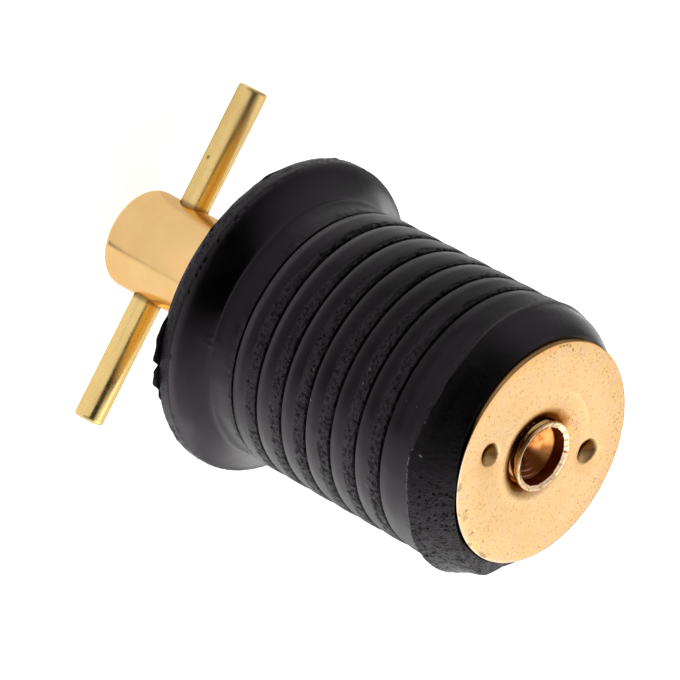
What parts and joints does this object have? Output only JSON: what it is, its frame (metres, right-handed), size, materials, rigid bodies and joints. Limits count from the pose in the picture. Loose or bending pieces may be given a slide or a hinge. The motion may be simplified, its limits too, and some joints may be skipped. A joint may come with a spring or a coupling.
{
  "type": "boat drain plug",
  "caption": "Expanding boat drain plug: ribbed rubber plug with a flared flange, squeezed between a brass T-handle and a brass nut plate to seal a drain tube.",
  "frame": {"origin": "centre of the flat end of the handle barrel, on which the plug stands", "axes": "+Z along the plug's axis from the handle to the nut plate; X along the cross bar"},
  "size_m": [0.0338, 0.0296, 0.0501],
  "materials": {
    "rubber": "moulded black rubber, smooth and rough bands",
    "turned_brass": "turned brass, satin",
    "stamped_brass": "tumbled sheet brass, matt with small pits"
  },
  "bodies": {
    "plug": {"rubber_plug": "rubber", "thrust_washer": "stamped_brass"},
    "handle": {"handle_spindle": "turned_brass", "cross_bar": "turned_brass"},
    "plate": {"nut_plate": "stamped_brass"}
  },
  "joints": [
    {"name": "handle_turn", "type": "hinge", "parent": "plug", "child": "handle", "pos_m": [0, 0, 0.00405], "axis": [0, 0, 1], "range_deg": [0, 1350]},
    {"name": "plate_travel", "type": "slide", "parent": "plug", "child": "plate", "axis": [0, 0, -1], "range_m": [0, 0.00477], "deforming": ["rubber_plug"]}
  ],
  "couplings": [
    {"joint": "plate_travel", "follows": "handle_turn", "m_per_rad": 0.00020213}
  ]
}
